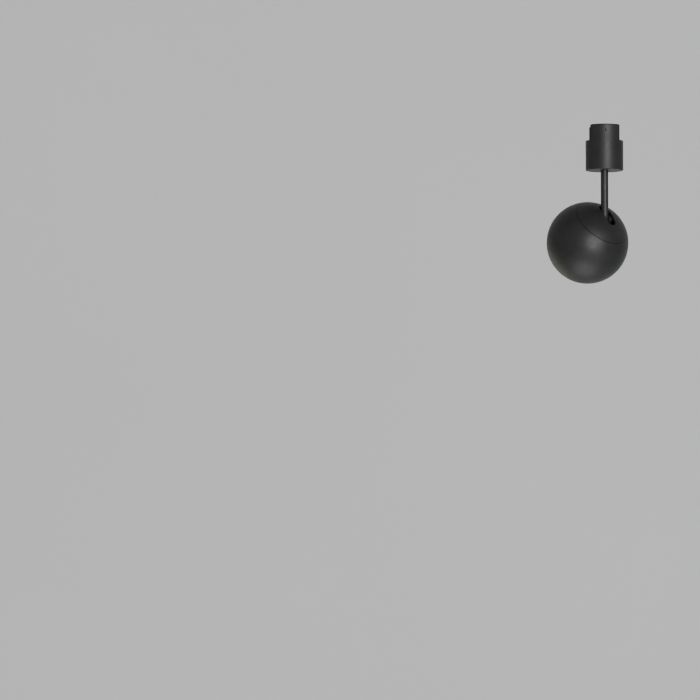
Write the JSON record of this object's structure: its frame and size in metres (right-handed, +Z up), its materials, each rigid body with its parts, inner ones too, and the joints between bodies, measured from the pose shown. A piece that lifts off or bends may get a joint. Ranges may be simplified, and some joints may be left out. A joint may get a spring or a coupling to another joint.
{
  "type": "track spotlight",
  "caption": "Ball-shaped spotlight on a straight stem under a cylindrical adaptor whose ears straddle a ceiling rail; it turns about the stem and tilts on a pivot under its slotted rear cap.",
  "frame": {"origin": "middle of the rail seat, the floor of the adaptor's slot, on the stem's axis", "axes": "+Z up out of the seat towards the rail, X along the rail, stem along -Z"},
  "size_m": [0.086, 0.086, 0.1646],
  "materials": {
    "black_coat": "satin black powder coat on cast aluminium",
    "black_stem": "satin black powder coat on steel tube",
    "black_cover": "fine texture",
    "black_bezel": "matt black paint on turned aluminium",
    "black_steel": "black oxide",
    "black_plastic": "moulded",
    "green_plastic": "moulded",
    "white_plastic": "moulded",
    "natural_plastic": "natural nylon",
    "ferrite": "sintered",
    "can_aluminium": "drawn can",
    "board": "solder mask",
    "white_board": "white solder mask",
    "ceramic": "ceramic",
    "phosphor": "phosphor gel",
    "brass": "plated",
    "spring_steel": "bright",
    "zinc_steel": "zinc plated",
    "lead_sheath": "PVC sheath",
    "black_rubber": "moulded",
    "sink_aluminium": "as cast",
    "mirror_aluminium": "bright anodised",
    "lens_glass": "clear"
  },
  "bodies": {
    "adaptor": {"adaptor_housing": "black_coat", "rail_grub_screws": "black_steel", "swivel_plate": "sink_aluminium", "plate_screws": "zinc_steel", "base_cover": "black_cover", "contact_block": "black_plastic", "contact_spring_left": "spring_steel", "contact_spring_right": "spring_steel", "contact_tags": "brass", "input_leads": "lead_sheath", "driver_board": "board", "board_screws": "zinc_steel", "driver_capacitors": "can_aluminium", "driver_inductor": "ferrite", "driver_chips": "black_plastic", "terminal_block": "green_plastic", "output_connector": "white_plastic", "output_lead": "lead_sheath", "stem_bush": "black_plastic", "thrust_washer": "natural_plastic"},
    "contact_pin_left": {"contact_pin_left": "brass"},
    "contact_pin_right": {"contact_pin_right": "brass"},
    "stem": {"disc_spring": "spring_steel", "stop_collar": "zinc_steel", "stem_retaining_ring": "black_steel", "stem": "black_stem", "stem_lead": "lead_sheath"},
    "head": {"rear_cap": "black_coat", "seam_gasket": "black_rubber", "front_shell": "black_coat", "heat_sink": "sink_aluminium", "standoff_pillars": "zinc_steel", "clamp_screws": "zinc_steel", "led_board": "white_board", "led_chip": "ceramic", "led_emitter": "phosphor", "led_holder": "white_plastic", "holder_screws": "zinc_steel", "reflector": "mirror_aluminium", "lens": "lens_glass", "lens_gasket": "black_rubber", "bezel": "black_bezel", "pivot_screw": "black_steel", "pivot_nut": "black_steel", "friction_washers": "black_plastic", "head_lead": "lead_sheath", "lead_grommet": "black_rubber"}
  },
  "joints": [
    {"name": "pan", "type": "hinge", "parent": "adaptor", "child": "stem", "pos_m": [0, 0, -0.027], "axis": [0, 0, 1], "range_deg": [-165, 165]},
    {"name": "tilt", "type": "hinge", "parent": "stem", "child": "head", "pos_m": [0, 0, -0.0818], "axis": [0.7738, 0.6334, 0], "range_deg": [-100, 2]},
    {"name": "contact_left_press", "type": "slide", "parent": "adaptor", "child": "contact_pin_left", "axis": [0, 0, 1], "range_m": [-0.0016, 0], "stiffness_N_per_m": 300, "springref_m": 0.001, "deforming": ["contact_spring_left"]},
    {"name": "contact_right_press", "type": "slide", "parent": "adaptor", "child": "contact_pin_right", "axis": [0, 0, 1], "range_m": [-0.0016, 0], "stiffness_N_per_m": 300, "springref_m": 0.001, "deforming": ["contact_spring_right"]}
  ]
}
